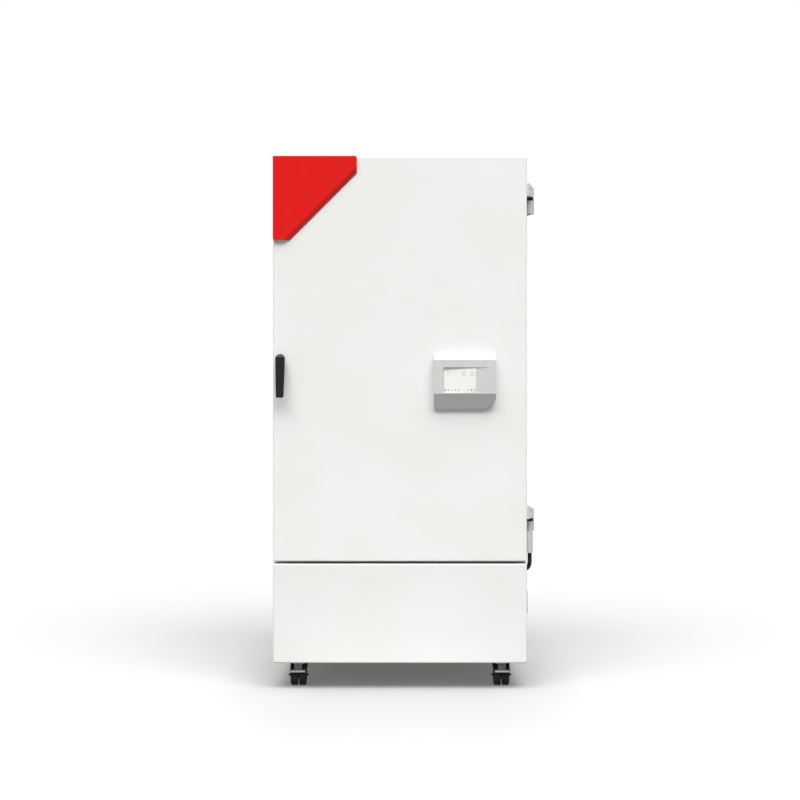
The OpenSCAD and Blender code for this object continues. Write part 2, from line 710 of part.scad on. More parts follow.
// Hose from the hinge axis down, round its bend and into the base
module hose_run(r) translate([axis_x, axis_y, hose_z]) rotate([0, 0, hose_turn]) {
  translate([0, 0, hose_bend]) cylinder(conduit_top - 29 - hose_z - hose_bend, r, r);
  translate([hose_bend, 0, hose_bend]) rotate([90, 0, 0]) rotate([0, 0, 180])
    rotate_extrude(angle = 90) translate([hose_bend, 0]) circle(r);
  translate([hose_bend, 0, 0]) rotate([0, 90, 0]) cylinder(hose_end - hose_bend, r, r);
}

module door_cable() color("#1b1b1c") hose_run(hose_r);

// Outline of the grommet's body in the cabinet side
module grommet_outline(g) panel(
  [frame_y + 2 - g, hose_z - 20 - g], [frame_y + 50 + g, hose_z + 18 + g], 6);

module cable_grommet() color("#232325") difference() {
  union() {
    side(hw - 6, hw) grommet_outline(0);
    side(hw, hw + 4) panel([frame_y + 0.5, hose_z - 24], [frame_y + 54, hose_z + 22], 8);
  }
  hose_run(hose_r + gap);
}

module switch_bezel() color("#dcdcd9") difference() {
  union() {
    side(hw, hw + 10) panel(rocker_a - [12, 20], rocker_b + [12, 20], 5);
    side(hw - 12, hw) panel(rocker_a + [gap, gap], rocker_b - [gap, gap], 1.7);
  }
  side(hw + 1, hw + 11) panel(rocker_a + [3.5, -0.5], rocker_b - [3.5, -0.5], 1);
  wall(rocker_a.x + 2, rocker_b.x - 2) dot([hw + 5.5, (rocker_a.y + rocker_b.y) / 2], 1.5 + run);
}

module power_rocker() color("#2f9a4a") translate([hw + 5.5, 0, (rocker_a.y + rocker_b.y) / 2])
  rotate([0, 7, 0]) {
    translate([0, rocker_a.x + 4, 0]) rotate([-90, 0, 0]) linear_extrude(24)
      polygon([[-1, 20], [-3, 0], [-1, -20], [4, -20], [3, 0], [4, 20]]);
    translate([0, rocker_a.x + 2.5, 0]) rotate([-90, 0, 0]) cylinder(27, 1.5, 1.5);
  }

module caster_plates() color("#9fa3a6") for (x = [-caster_x, caster_x], y = [-caster_y, caster_y])
  translate([x, y]) {
    slab(plate_z, caster_h) panel([-32, -32], [32, 32], 6);
    for (a = [-24, 24], b = [-24, 24]) slab(plate_z - 3, plate_z) translate([a, b]) circle(5.5, $fn = 6);
    slab(plate_z - 2, plate_z) dot([0, 0], 19);
  }

module caster_fork(x, y, brake) color("#222223") translate([x, y]) difference() {
  union() {
    slab(neck_z - 8, plate_z - 2 - gap) dot([0, 0], 15);
    side(-hood_w / 2, hood_w / 2) difference() {
      wrap([[-trail, wheel_r, hood_r], [9, wheel_r + 28, 14], [17, neck_z - 9, 9], [-17, neck_z - 9, 9]]);
      dot([-trail, wheel_r], wheel_r + 2.5);
      translate([-100, -50]) square([200, wheel_r + 69]);
    }
    side(-web_t / 2, web_t / 2) wrap([[-trail, wheel_r, 12.5], [2, neck_z - 14, 10], [-24, neck_z - 14, 10]]);
    side(-37, 37) dot([-trail, wheel_r], axle_r);
    if (brake) for (s = [-21, 21]) side(s - 2, s + 2)
      wrap([[pedal_y, pedal_z, 4.5], [pedal_y + 5, wheel_r + hood_r - 2, 4], [pedal_y + 16, neck_z - 12, 5]]);
  }
  if (brake) side(-24, 24) dot([pedal_y, pedal_z], 2 + run);
}

module caster_wheels(x, y) color("#1d1d1e") translate([x, y - trail, wheel_r]) for (s = [-1, 1])
  rotate([0, s * 90, 0]) rotate_extrude() translate([0, wheel_in]) difference() {
    wrap([[0, 0, 0], [wheel_r - 3, 3, 3], [wheel_r - 6, wheel_w - 6, 6], [0, wheel_w, 0]]);
    translate([-1, -1]) square([axle_r + run + 1, wheel_w + 2]);
    translate([axle_r + 6, wheel_w - 3]) square([wheel_r - axle_r - 18, 4]);
  }

module brake_pedal(x, y) color("#c9c9c4") translate([x, y]) {
  intersection() {
    side(-20, 20) wrap([[bar_y, bar_z, 1.5], [pedal_y, pedal_z, 1.5]]);
    wall(-200, 200)
      polygon([[-16.5, pedal_z + 5], [-12.5, bar_z - 5], [12.5, bar_z - 5], [16.5, pedal_z + 5]]);
  }
  side(-pedal_w / 2, pedal_w / 2)
    wrap([[bar_y - 3, bar_z - 3, 2.5], [bar_y + 2, bar_z + 1, 2.5], [bar_y - 5, bar_z + 1, 2.5]]);
  side(-18.7, 18.7) dot([pedal_y, pedal_z], 3.5);
  side(-24, 24) dot([pedal_y, pedal_z], 2);
}

module caster_fork_fl() caster_fork(-caster_x, -caster_y, true);
module caster_fork_fr() caster_fork(caster_x, -caster_y, true);
module caster_fork_rl() caster_fork(-caster_x, caster_y, false);
module caster_fork_rr() caster_fork(caster_x, caster_y, false);
module caster_wheels_fl() caster_wheels(-caster_x, -caster_y);
module caster_wheels_fr() caster_wheels(caster_x, -caster_y);
module caster_wheels_rl() caster_wheels(-caster_x, caster_y);
module caster_wheels_rr() caster_wheels(caster_x, caster_y);

module door_skin() color("#efefed") difference() {
  translate([0, front_y, door_z]) soft_front(cab_w, door_t, door_h, edge_r);
  translate([0, front_y + sheet_t, door_z + sheet_t])
    soft_front(cab_w - 2 * sheet_t, door_t, door_h - 2 * sheet_t, edge_r - sheet_t);
  wall(front_y - 1, front_y + 3) dot([lever_x, nose_z], guide_r + gap);
  pipe(harness, harness_r + gap, 8);
}

module door_inner_panel() color("#d9dbdc") difference() {
  union() {
    box([sheet_t - hw, skin_y - sheet_t, door_z + sheet_t], [hw - sheet_t, skin_y, cab_h - sheet_t]);
    wall(skin_y, skin_y + emboss_h) panel(field_a, field_b, 34);
  }
  wall(skin_y - sheet_t - 1, skin_y + emboss_h - sheet_t)
    panel(field_a + [sheet_t, sheet_t], field_b - [sheet_t, sheet_t], 34 - sheet_t);
  wall(skin_y - 5, skin_y + 5) dot([lever_x, nose_z], guide_r + gap);
}

module door_foam() color("#e8dcb0") difference() {
  union() {
    box([sheet_t - hw, front_y + edge_r, door_z + sheet_t],
        [hw - sheet_t, skin_y - sheet_t, cab_h - sheet_t]);
    box([edge_r - hw, front_y + sheet_t, door_z + edge_r],
        [hw - edge_r, front_y + edge_r, cab_h - edge_r]);
  }
  wall(front_y, skin_y) dot([lever_x, nose_z], guide_r + gap);
  pipe(harness, harness_r + gap, 8);
}

module door_gasket() color("#8f9496") {
  a = [gasket_inset - hw, door_z + gasket_foot];
  b = [hw - gasket_inset, cab_h - gasket_inset];
  reach = seal_gap - gap;
  wall(skin_y, skin_y + reach * 0.35) band(a, b, 14, gasket_w);
  wall(skin_y + reach * 0.35, skin_y + reach * 0.6) band(a + [8, 8], b - [8, 8], 8, gasket_w - 16);
  wall(skin_y + reach * 0.6, skin_y + reach) band(a + [4, 4], b - [4, 4], 11, gasket_w - 8);
}

module corner_plate() color("#d81e10") difference() {
  wall(front_y - plate_t, front_y) wrap([
    [-hw + 5, cab_h - plate_leg + 5, 5], [-hw + plate_tip - 4, cab_h - plate_leg + 8, 8],
    [-hw + plate_leg - 8, cab_h - plate_tip + 4, 8], [-hw + plate_leg - 5, cab_h - 5, 5],
    [-hw + 3, cab_h - 3, 3]
  ]);
  s = sqrt(0.5);
  middle = (plate_leg + plate_tip) / 2;
  multmatrix([
    [s, 0, -s, middle - hw], [0, -1, 0, front_y], [-s, 0, -s, cab_h - middle], [0, 0, 0, 1]
  ]) translate([0, 0, -plate_leg]) linear_extrude(2 * plate_leg)
    polygon([[0, 2], [-plate_bevel, plate_t], [-plate_bevel, plate_t + 5], [20, plate_t + 5], [20, 2]]);
}

// Housing's solid, drawn in by n millimetres on every side but the back
module ctrl_solid(n) intersection() {
  side(ctrl_x - ctrl_w, ctrl_x + ctrl_w) wrap([
    [front_y - 9, ctrl_z + 5, 5 - n], [front_y + 1, ctrl_z + n, 0], [front_y + 1, ctrl_z + ctrl_h - n, 0],
    [front_y - 17, ctrl_z + ctrl_h - 6, 5 - n], [front_y - ctrl_out + 9, ctrl_z + ctrl_h - 20, 5 - n],
    [front_y - ctrl_out + 5, ctrl_z + 57, 5 - n]
  ]);
  wall(front_y - 2 * ctrl_out, front_y) wrap([
    [ctrl_x - ctrl_w / 2 + 6, ctrl_z + 6, 6 - n], [ctrl_x + ctrl_w / 2 - 44, ctrl_z + 14, 14 - n],
    [ctrl_x + ctrl_w / 2 - 14, ctrl_z + 38, 14 - n], [ctrl_x + ctrl_w / 2 - 5, ctrl_z + ctrl_h - 5, 5 - n],
    [ctrl_x - ctrl_w / 2 + 5, ctrl_z + ctrl_h - 5, 5 - n]
  ]);
}

// Display's own frame: x along the sloping floor, y into the housing, z up
module screen_frame() translate([ctrl_x - ctrl_w / 2 + 34, front_y - ctrl_out, ctrl_z + 60])
  rotate([-asin(4 / (ctrl_h - 77)), 0, 0]) rotate([0, 0, -atan2(recess_d, ctrl_w - 50)])
    translate([0, recess_d, 0]) children();

module controller_housing() color("#d3d3d1") difference() {
  ctrl_solid(0);
  intersection() {
    ctrl_solid(3);
    box([0, front_y - ctrl_out + 16, 0], [hw, front_y, cab_h]);
  }
  screen_frame() box([0, -20, 0], [ctrl_w, 0, screen_h + 5]);
}

module display_glass() color("#f2f2ee") screen_frame()
  translate([screen_w / 2 + 1, 0, screen_h / 2 + 2.5]) rotate([90, 0, 0]) linear_extrude(1)
    panel([-screen_w / 2, -screen_h / 2], [screen_w / 2, screen_h / 2], 1);

module controller_board() color("#2f6b45") {
  x = ctrl_x - ctrl_w / 2;
  box([x + 20, front_y - 20, ctrl_z + 40], [x + 180, front_y - 18, ctrl_z + 160]);
  for (i = [0:4]) translate([x + 34 + 26 * i, front_y - 18, ctrl_z + 120]) cube([16, 5, 16]);
  for (dx = [28, 172], dz = [48, 152]) wall(front_y - 18, front_y) dot([x + dx, ctrl_z + dz], 3);
  pipe(harness, harness_r, 8);
}

module handle_base() color("#202021") difference() {
  w = lever_r - lever_wall - gap;
  union() {
    wall(front_y - 2, front_y) panel([lever_x - w, pivot_z - 42], [lever_x + w, nose_z + 4], 4);
    side(lever_x - w, lever_x + w) wrap([
      [pivot_y, pivot_z, 5.5], [front_y - 1, pivot_z - 34, 1], [front_y - 1, pivot_z + 2, 1]
    ]);
    wall(front_y - 4, skin_y) dot([lever_x, nose_z], guide_r);
  }
  side(lever_x - lever_w, lever_x + lever_w) dot([pivot_y, pivot_z], lever_pin_r + run);
  wall(front_y - 5, skin_y + 1) dot([lever_x, nose_z], plunger_r + gap);
}

// Side view of the lever; n draws every outline in
module lever_side(n) wrap([
  [front_y - 18, lever_z - 5, 5 - n], [front_y - 30, lever_z - 12, 5 - n],
  [front_y - lever_out + 5, lever_z - lever_h + 5, 5 - n],
  [front_y - lever_out + 8, lever_z - lever_h + 5, 5 - n], [front_y - 18, pivot_z - 18, 5 - n]
]);

// Front view of the lever
module lever_front(n) {
  e = lever_end_w / 2 - 7;
  translate([lever_x, 0]) wrap([
    [-e, lever_z - lever_h + 7, 7 - n], [e, lever_z - lever_h + 7, 7 - n], [0, lever_z - lever_r, lever_r - n]
  ]);
}

module handle_lever() color("#1f1e1c") {
  difference() {
    intersection() {
      side(lever_x - lever_w, lever_x + lever_w) lever_side(0);
      wall(front_y - 2 * lever_out, front_y) lever_front(0);
    }
    translate([0, lever_wall, 0]) intersection() {
      side(lever_x - lever_w, lever_x + lever_w) lever_side(0);
      wall(front_y - 2 * lever_out, front_y + 20) lever_front(lever_wall);
    }
    box([lever_x - lever_r + lever_wall, pivot_y - 8, pivot_z - 20],
        [lever_x + lever_r - lever_wall, front_y, pivot_z + 15]);
    side(lever_x - plunger_r - 2, lever_x + plunger_r + 2) polygon([
      [pivot_y + 6, nose_z - 6], [front_y, nose_z - 6], [front_y, lever_z + 1], [pivot_y + 2, lever_z + 1]
    ]);
  }
  side(lever_x - 4, lever_x + 4)
    wrap([[pivot_y - 6, nose_z - 2, 2], [pivot_y + 2, nose_z, 4], [pivot_y - 6, nose_z - 0.5, 2]]);
  for (i = [1:3]) intersection() {
    box([lever_x - lever_r, front_y - lever_out, pivot_z - 28 - 26 * i],
        [lever_x + lever_r, front_y, pivot_z - 25 - 26 * i]);
    side(lever_x - lever_w, lever_x + lever_w) lever_side(0);
    wall(front_y - 2 * lever_out, front_y) lever_front(1);
  }
  side(lever_x - lever_r + 1, lever_x + lever_r - 1) dot([pivot_y, pivot_z], lever_pin_r);
}

module push_off_plunger() color("#c9cbcc") {
  y = pivot_y + 6 + 0.4;
  wall(y + 3, skin_y + 0.5) dot([lever_x, nose_z], plunger_r);
  wall(y, y + 3) dot([lever_x, nose_z], plunger_r + 1);
}

module glass_pane() color("#bfe0da") wall(glass_y - glass_t, glass_y) difference() {
  panel([-pane_r, floor_z - rebate + 3], [pane_r, roof_z + rebate - 3], 6);
  dot([knob_x, mid_z], 5 + gap);
}

module glass_hinges() color("#b9bcbe") {
  y = glass_y - glass_t;
  for (z = [floor_z - rebate + 3, roof_z + rebate - 43]) slab(z, z + 40) union() {
    dot([glass_axis.x, glass_axis.y], 4.5);
    wrap([[glass_axis.x - 56, y - 4, 3], [glass_axis.x - 2, y - 4, 3],
          [glass_axis.x + 1, y, 0], [glass_axis.x - 60, y, 0]]);
  }
  for (z = [floor_z - rebate + 23, roof_z + rebate - 23]) wall(y - 12, y - 6) dot([glass_axis.x - 44, z], 6);
  glass_pins(pin_r, 0);
}

module glass_latch() color("#2a2b2d") {
  y = glass_y - glass_t;
  wall(y - 0.8 + gap, glass_y) dot([knob_x, mid_z], 5);
  wall(y - 4.8, y - 0.8 + gap)
    wrap([[knob_x, mid_z, tongue_r + 2], [knob_x, mid_z + tongue_l, tongue_r]]);
  wall(y - 13.5, y - 4.8) difference() {
    dot([knob_x, mid_z], knob_r);
    for (a = [0:30:330]) dot([knob_x + (knob_r + 1) * cos(a), mid_z + (knob_r + 1) * sin(a)], 2.2);
  }
}

module rack(z) color("#c6c9cb") {
  x = rim_x;
  y0 = rack_y + rim_r;
  y1 = rack_y + rack_d - rim_r;
  pipe([[0, y0, z], [x, y0, z], [x, y1, z], [-x, y1, z], [-x, y0, z], [0, y0, z]], rim_r, 14);
  rod([-x, (y0 + y1) / 2, z], [x, (y0 + y1) / 2, z], rim_r - 1);
  for (i = [1:wire_gaps - 1]) {
    wx = -x + i * 2 * x / wire_gaps;
    rod([wx, y0 - 1, z + rim_r + wire_r - 1], [wx, y1 + 1, z + rim_r + wire_r - 1], wire_r);
  }
}

module rack_1() rack(rack_zs[0]);
module rack_2() rack(rack_zs[1]);
module rack_3() rack(rack_zs[2]);

module fan_impeller() color("#a9adb0") translate([0, plenum_y - 22, hub_z]) {
  wall(0, 2) difference() {
    circle(impeller_r);
    circle(impeller_r - 33);
  }
  wall(42, 44) circle(impeller_r);
  wall(2, 42) for (i = [0:blades - 1]) rotate(360 / blades * i)
    translate([impeller_r - 26, 0]) rotate(32) translate([-2, -1]) square([26, 2]);
  wall(24, 42) circle(16);
  wall(44, duct_y + 16 - plenum_y + 22) circle(shaft_r);
}

module condenser_blade() color("#2c2e30") translate([fan_x, cond_y - 46, fan_z]) {
  wall(0, 30) circle(26);
  wall(-8, 0) circle(blade_shaft_r);
  for (a = [0:72:288]) rotate([0, a, 0]) translate([22, 15, 0]) rotate([62, 0, 0])
    linear_extrude(2.4, center = true)
      wrap([[2, -11, 3], [fan_r - 32, -18, 6], [fan_r - 32, 12, 6], [2, 11, 3]]);
}

module brake_pedal_l() brake_pedal(-caster_x, -caster_y);
module brake_pedal_r() brake_pedal(caster_x, -caster_y);

outer_jacket();
rear_panel();
rear_grille();
base_chassis();
base_front_panel();
foam_insulation();
inner_liner();
front_frame();
glass_seal();
rack_supports();
air_baffle();
fan_motors();
evaporator_coil();
heater_coil();
temperature_sensor();
port_sleeve();
compressor();
condenser_coil();
refrigerant_pipes();
electronics_box();
power_inlet();
hinge_brackets();
hinge_bushes();
door_cable();
cable_grommet();
switch_bezel();
caster_plates();
door_skin();
door_inner_panel();
door_foam();
door_gasket();
corner_plate();
controller_housing();
display_glass();
controller_board();
handle_base();
hinge_knuckles();
cable_conduit();
handle_lever();
push_off_plunger();
glass_pane();
glass_hinges();
glass_latch();
rack_1();
rack_2();
rack_3();
fan_impeller();
condenser_blade();
power_rocker();
port_plug();
caster_fork_fl();
caster_fork_fr();
caster_fork_rl();
caster_fork_rr();
caster_wheels_fl();
caster_wheels_fr();
caster_wheels_rl();
caster_wheels_rr();
brake_pedal_l();
brake_pedal_r();
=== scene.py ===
# Environmental test chamber: finishes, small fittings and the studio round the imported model.
# Metres, X right, Y to the rear, Z up, the floor at z = 0.

import json
import math

import bpy
import numpy as np
from mathutils import Matrix, Vector


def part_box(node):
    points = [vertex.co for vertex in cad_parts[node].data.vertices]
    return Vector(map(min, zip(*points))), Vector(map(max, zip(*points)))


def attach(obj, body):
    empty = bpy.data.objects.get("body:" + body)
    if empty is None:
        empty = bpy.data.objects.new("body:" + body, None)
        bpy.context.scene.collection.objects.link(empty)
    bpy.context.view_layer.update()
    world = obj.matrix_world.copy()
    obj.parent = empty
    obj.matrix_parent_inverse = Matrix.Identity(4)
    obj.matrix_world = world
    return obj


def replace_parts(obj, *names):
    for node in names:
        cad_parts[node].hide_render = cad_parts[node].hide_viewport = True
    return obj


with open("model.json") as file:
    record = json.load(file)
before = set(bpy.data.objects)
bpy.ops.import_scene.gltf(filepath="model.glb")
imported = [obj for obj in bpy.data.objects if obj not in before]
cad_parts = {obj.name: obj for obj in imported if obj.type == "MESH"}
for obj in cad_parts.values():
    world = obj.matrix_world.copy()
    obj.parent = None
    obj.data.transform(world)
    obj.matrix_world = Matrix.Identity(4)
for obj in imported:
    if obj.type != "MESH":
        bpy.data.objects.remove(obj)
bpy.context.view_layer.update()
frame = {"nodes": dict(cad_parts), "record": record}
nodes = frame["nodes"]
print("model loaded:", len(nodes), "nodes")


def hexColour(code):  # sRGB hex such as "#efefed" to linear RGBA
    parts = [int(code[i:i + 2], 16) / 255 for i in (1, 3, 5)]
    return [c / 12.92 if c <= 0.04045 else ((c + 0.055) / 1.055) ** 2.4 for c in parts] + [1.0]


# One shader node, its settings, and what feeds its sockets, by their name or number.
def addNode(tree, kind, settings, links=None):
    node = tree.nodes.new(kind)
    for key, value in settings.items():
        if key == "stops":
            for i, (at, code) in enumerate(value):
                stop = node.color_ramp.elements[i] if i < 2 else node.color_ramp.elements.new(at)
                stop.position = at
                stop.color = hexColour(code)
        elif key in node.inputs:
            node.inputs[key].default_value = value
        else:
            setattr(node, key, value)
    for key, source in (links or {}).items():
        tree.links.new(source, node.inputs[key])
    return node


# A material with one Principled shader, and the place on the object; surface holds its plain settings.
def newMaterial(name, surface):
    material = bpy.data.materials.new(name)
    material.use_nodes = True
    tree = material.node_tree
    tree.nodes.clear()
    shader = addNode(tree, "ShaderNodeBsdfPrincipled", surface)
    addNode(tree, "ShaderNodeOutputMaterial", {}, {"Surface": shader.outputs[0]})
    place = addNode(tree, "ShaderNodeTexCoord", {})
    return material, tree, shader, place.outputs["Object"]


def tint(tree, shader, source, dark, light, low=0.35, high=0.65):  # colour from dark to light with source
    ramp = addNode(tree, "ShaderNodeValToRGB", {"stops": [(low, dark), (high, light)]}, {"Fac": source})
    tree.links.new(ramp.outputs["Color"], shader.inputs["Base Color"])


def gloss(tree, shader, source, low, high):  # roughness runs from low to high with source
    span = addNode(tree, "ShaderNodeMapRange", {"To Min": low, "To Max": high}, {"Value": source})
    tree.links.new(span.outputs["Result"], shader.inputs["Roughness"])


def relief(tree, shader, source, height, strength=1.0):  # bump whose full height is given in metres
    bump = addNode(tree, "ShaderNodeBump", {"Distance": height, "Strength": strength}, {"Height": source})
    tree.links.new(bump.outputs["Normal"], shader.inputs["Normal"])


def noise(tree, place, size, detail=2.0, stretch=(1, 1, 1)):  # noise whose blobs measure size in metres
    mapping = addNode(tree, "ShaderNodeMapping", {"Scale": stretch}, {"Vector": place})
    return addNode(tree, "ShaderNodeTexNoise", {"Scale": 1 / size, "Detail": detail, "Roughness": 0.55},
                   {"Vector": mapping.outputs["Vector"]}).outputs["Fac"]


# Polyester powder coat on steel sheet, sprayed and baked: matt-satin white with a fine orange peel.
# The real peel is about 1 mm across; it is drawn at 2.5 mm so that it shows near by.
def powderCoat(name, dark, light, rough=0.42, peel=0.0025):
    material, tree, shader, place = newMaterial(name, {"IOR": 1.5})
    tint(tree, shader, noise(tree, place, 0.35, 3), dark, light)
    gloss(tree, shader, noise(tree, place, 0.09, 3), rough - 0.05, rough + 0.05)
    relief(tree, shader, noise(tree, place, peel, 1.5), 0.00004, 0.5)
    return material


# Stainless sheet with a ground finish: long fine scratches in one direction blur what it mirrors.
def groundStainless(name, dark, light, rough, along=(0.02, 0.02, 1.0), grain=0.0016):
    material, tree, shader, place = newMaterial(name, {"Metallic": 1.0})
    scratches = noise(tree, place, grain, 3, along)
    tint(tree, shader, scratches, dark, light, 0.25, 0.75)
    gloss(tree, shader, noise(tree, place, 0.12, 2), rough - 0.06, rough + 0.06)
    relief(tree, shader, scratches, 0.00003, 0.4)
    return material


# Hot-dip galvanised sheet: zinc crystals a few millimetres across, each a slightly other grey.
def galvanisedSheet(name, dark, light):
    material, tree, shader, place = newMaterial(name, {"Metallic": 1.0})
    crystals = addNode(tree, "ShaderNodeTexVoronoi", {"Scale": 1 / 0.011}, {"Vector": place})
    tint(tree, shader, crystals.outputs["Distance"], dark, light, 0.1, 0.7)
    gloss(tree, shader, noise(tree, place, 0.02, 2), 0.32, 0.5)
    return material


# Zinc plating, bright chromate: clean satin metal with faint cloudy bloom.
def zincPlate(name, dark, light, rough=0.3):
    material, tree, shader, place = newMaterial(name, {"Metallic": 1.0})
    tint(tree, shader, noise(tree, place, 0.012, 3), dark, light)
    gloss(tree, shader, noise(tree, place, 0.004, 3), rough - 0.06, rough + 0.08)
    relief(tree, shader, noise(tree, place, 0.0012, 2), 0.00003, 0.4)
    return material


# Nickel-chrome over steel wire: near mirror, a touch of waviness from drawing the wire.
def chromedWire(name, dark, light):
    material, tree, shader, place = newMaterial(name, {"Metallic": 1.0})
    tint(tree, shader, noise(tree, place, 0.03, 2), dark, light)
    gloss(tree, shader, noise(tree, place, 0.02, 2), 0.08, 0.2)
    relief(tree, shader, noise(tree, place, 0.003, 1), 0.00005, 0.3)
    return material


# Injection-moulded plastic with a spark-eroded grain: broad soft highlights, tiny pits.
def mouldedPlastic(name, dark, light, rough=0.45, grain=0.0009, depth=0.00005):
    material, tree, shader, place = newMaterial(name, {"IOR": 1.53})
    tint(tree, shader, noise(tree, place, 0.03, 3), dark, light)
    gloss(tree, shader, noise(tree, place, 0.01, 2), rough - 0.05, rough + 0.06)
    relief(tree, shader, noise(tree, place, grain, 2), depth, 0.6)
    return material


# Cast or moulded rubber and silicone: dull, slightly dusty, with a skin-fine unevenness.
def mouldedRubber(name, dark, light, rough=0.62):
    material, tree, shader, place = newMaterial(
        name, {"IOR": 1.45, "Sheen Weight": 0.08, "Sheen Roughness": 0.5})
    tint(tree, shader, noise(tree, place, 0.02, 4), dark, light)
    gloss(tree, shader, noise(tree, place, 0.006, 3), rough - 0.08, rough + 0.08)
    relief(tree, shader, noise(tree, place, 0.0015, 3), 0.00006, 0.5)
    return material


# Stoving enamel on pressed steel: deeper gloss than powder, a shallow ripple.
def stoveEnamel(name, dark, light, rough=0.28):
    material, tree, shader, place = newMaterial(
        name, {"IOR": 1.5, "Coat Weight": 0.25, "Coat Roughness": 0.12})
    tint(tree, shader, noise(tree, place, 0.03, 3), dark, light)
    gloss(tree, shader, noise(tree, place, 0.02, 2), rough - 0.05, rough + 0.06)
    relief(tree, shader, noise(tree, place, 0.005, 1.5), 0.00008, 0.4)
    return material


# Drawn copper tube left bare: warm metal, browner where it was handled and brazed.
def drawnCopper(name):
    material, tree, shader, place = newMaterial(name, {"Metallic": 1.0})
    tint(tree, shader, noise(tree, place, 0.03, 4), "#8a4f35", "#d08a62")
    gloss(tree, shader, noise(tree, place, 0.01, 3), 0.22, 0.45)
    relief(tree, shader, noise(tree, place, 0.002, 2), 0.00004, 0.4)
    return material


# Polyurethane foam, blown in place: matt cream with open pores where it is cut.
def blownFoam(name):
    material, tree, shader, place = newMaterial(name, {"Roughness": 0.95, "IOR": 1.4})
    pores = addNode(tree, "ShaderNodeTexVoronoi", {"Scale": 1 / 0.0022}, {"Vector": place})
    tint(tree, shader, pores.outputs["Distance"], "#cdbb84", "#ecdfb2", 0.1, 0.6)
    relief(tree, shader, pores.outputs["Distance"], 0.0006, 0.7)
    return material


# Toughened float glass: clear with the green of its edge, and a very faint roller wave.
def toughenedGlass(name):
    material, tree, shader, place = newMaterial(name, {
        "Base Color": hexColour("#f2fbf7"), "Roughness": 0.01, "IOR": 1.52, "Transmission Weight": 1.0})
    relief(tree, shader, noise(tree, place, 0.25, 1), 0.0002, 0.15)
    return material


# Lit liquid-crystal display behind a matt cover: even near-white, crossed by fine rows of pixels.
# The real rows are about 0.2 mm apart; they are drawn 2 mm apart so that they show near by.
def litDisplay(name):
    material, tree, shader, place = newMaterial(name, {
        "Roughness": 0.35, "IOR": 1.5, "Emission Color": hexColour("#f4f4f1"), "Emission Strength": 0.12})
    rows = addNode(tree, "ShaderNodeTexWave",
                   {"Scale": 160.0, "wave_type": "BANDS", "bands_direction": "Z"}, {"Vector": place})
    tint(tree, shader, rows.outputs["Fac"], "#dcdcd8", "#e5e5e2", 0.2, 0.8)
    return material


# Marks that the display shows: the same matt cover in grey, a little uneven where the backlight varies.
def litMarks(name, dark, light):
    material, tree, shader, place = newMaterial(name, {"Roughness": 0.35, "IOR": 1.5})
    tint(tree, shader, noise(tree, place, 0.01, 2), dark, light)
    return material


# Glass-fibre circuit board under solder mask: green laminate with copper tracks showing through,
# in cells of about 2.3 by 1.1 mm.
def circuitBoard(name):
    material, tree, shader, place = newMaterial(
        name, {"IOR": 1.5, "Coat Weight": 0.4, "Coat Roughness": 0.2})
    tracks = addNode(tree, "ShaderNodeTexBrick", {"Scale": 220.0, "Mortar Size": 0.012},
                     {"Vector": place})
    tint(tree, shader, tracks.outputs["Fac"], "#1f5a39", "#4f8a58", 0.3, 0.7)
    gloss(tree, shader, noise(tree, place, 0.004, 2), 0.35, 0.5)
    return material


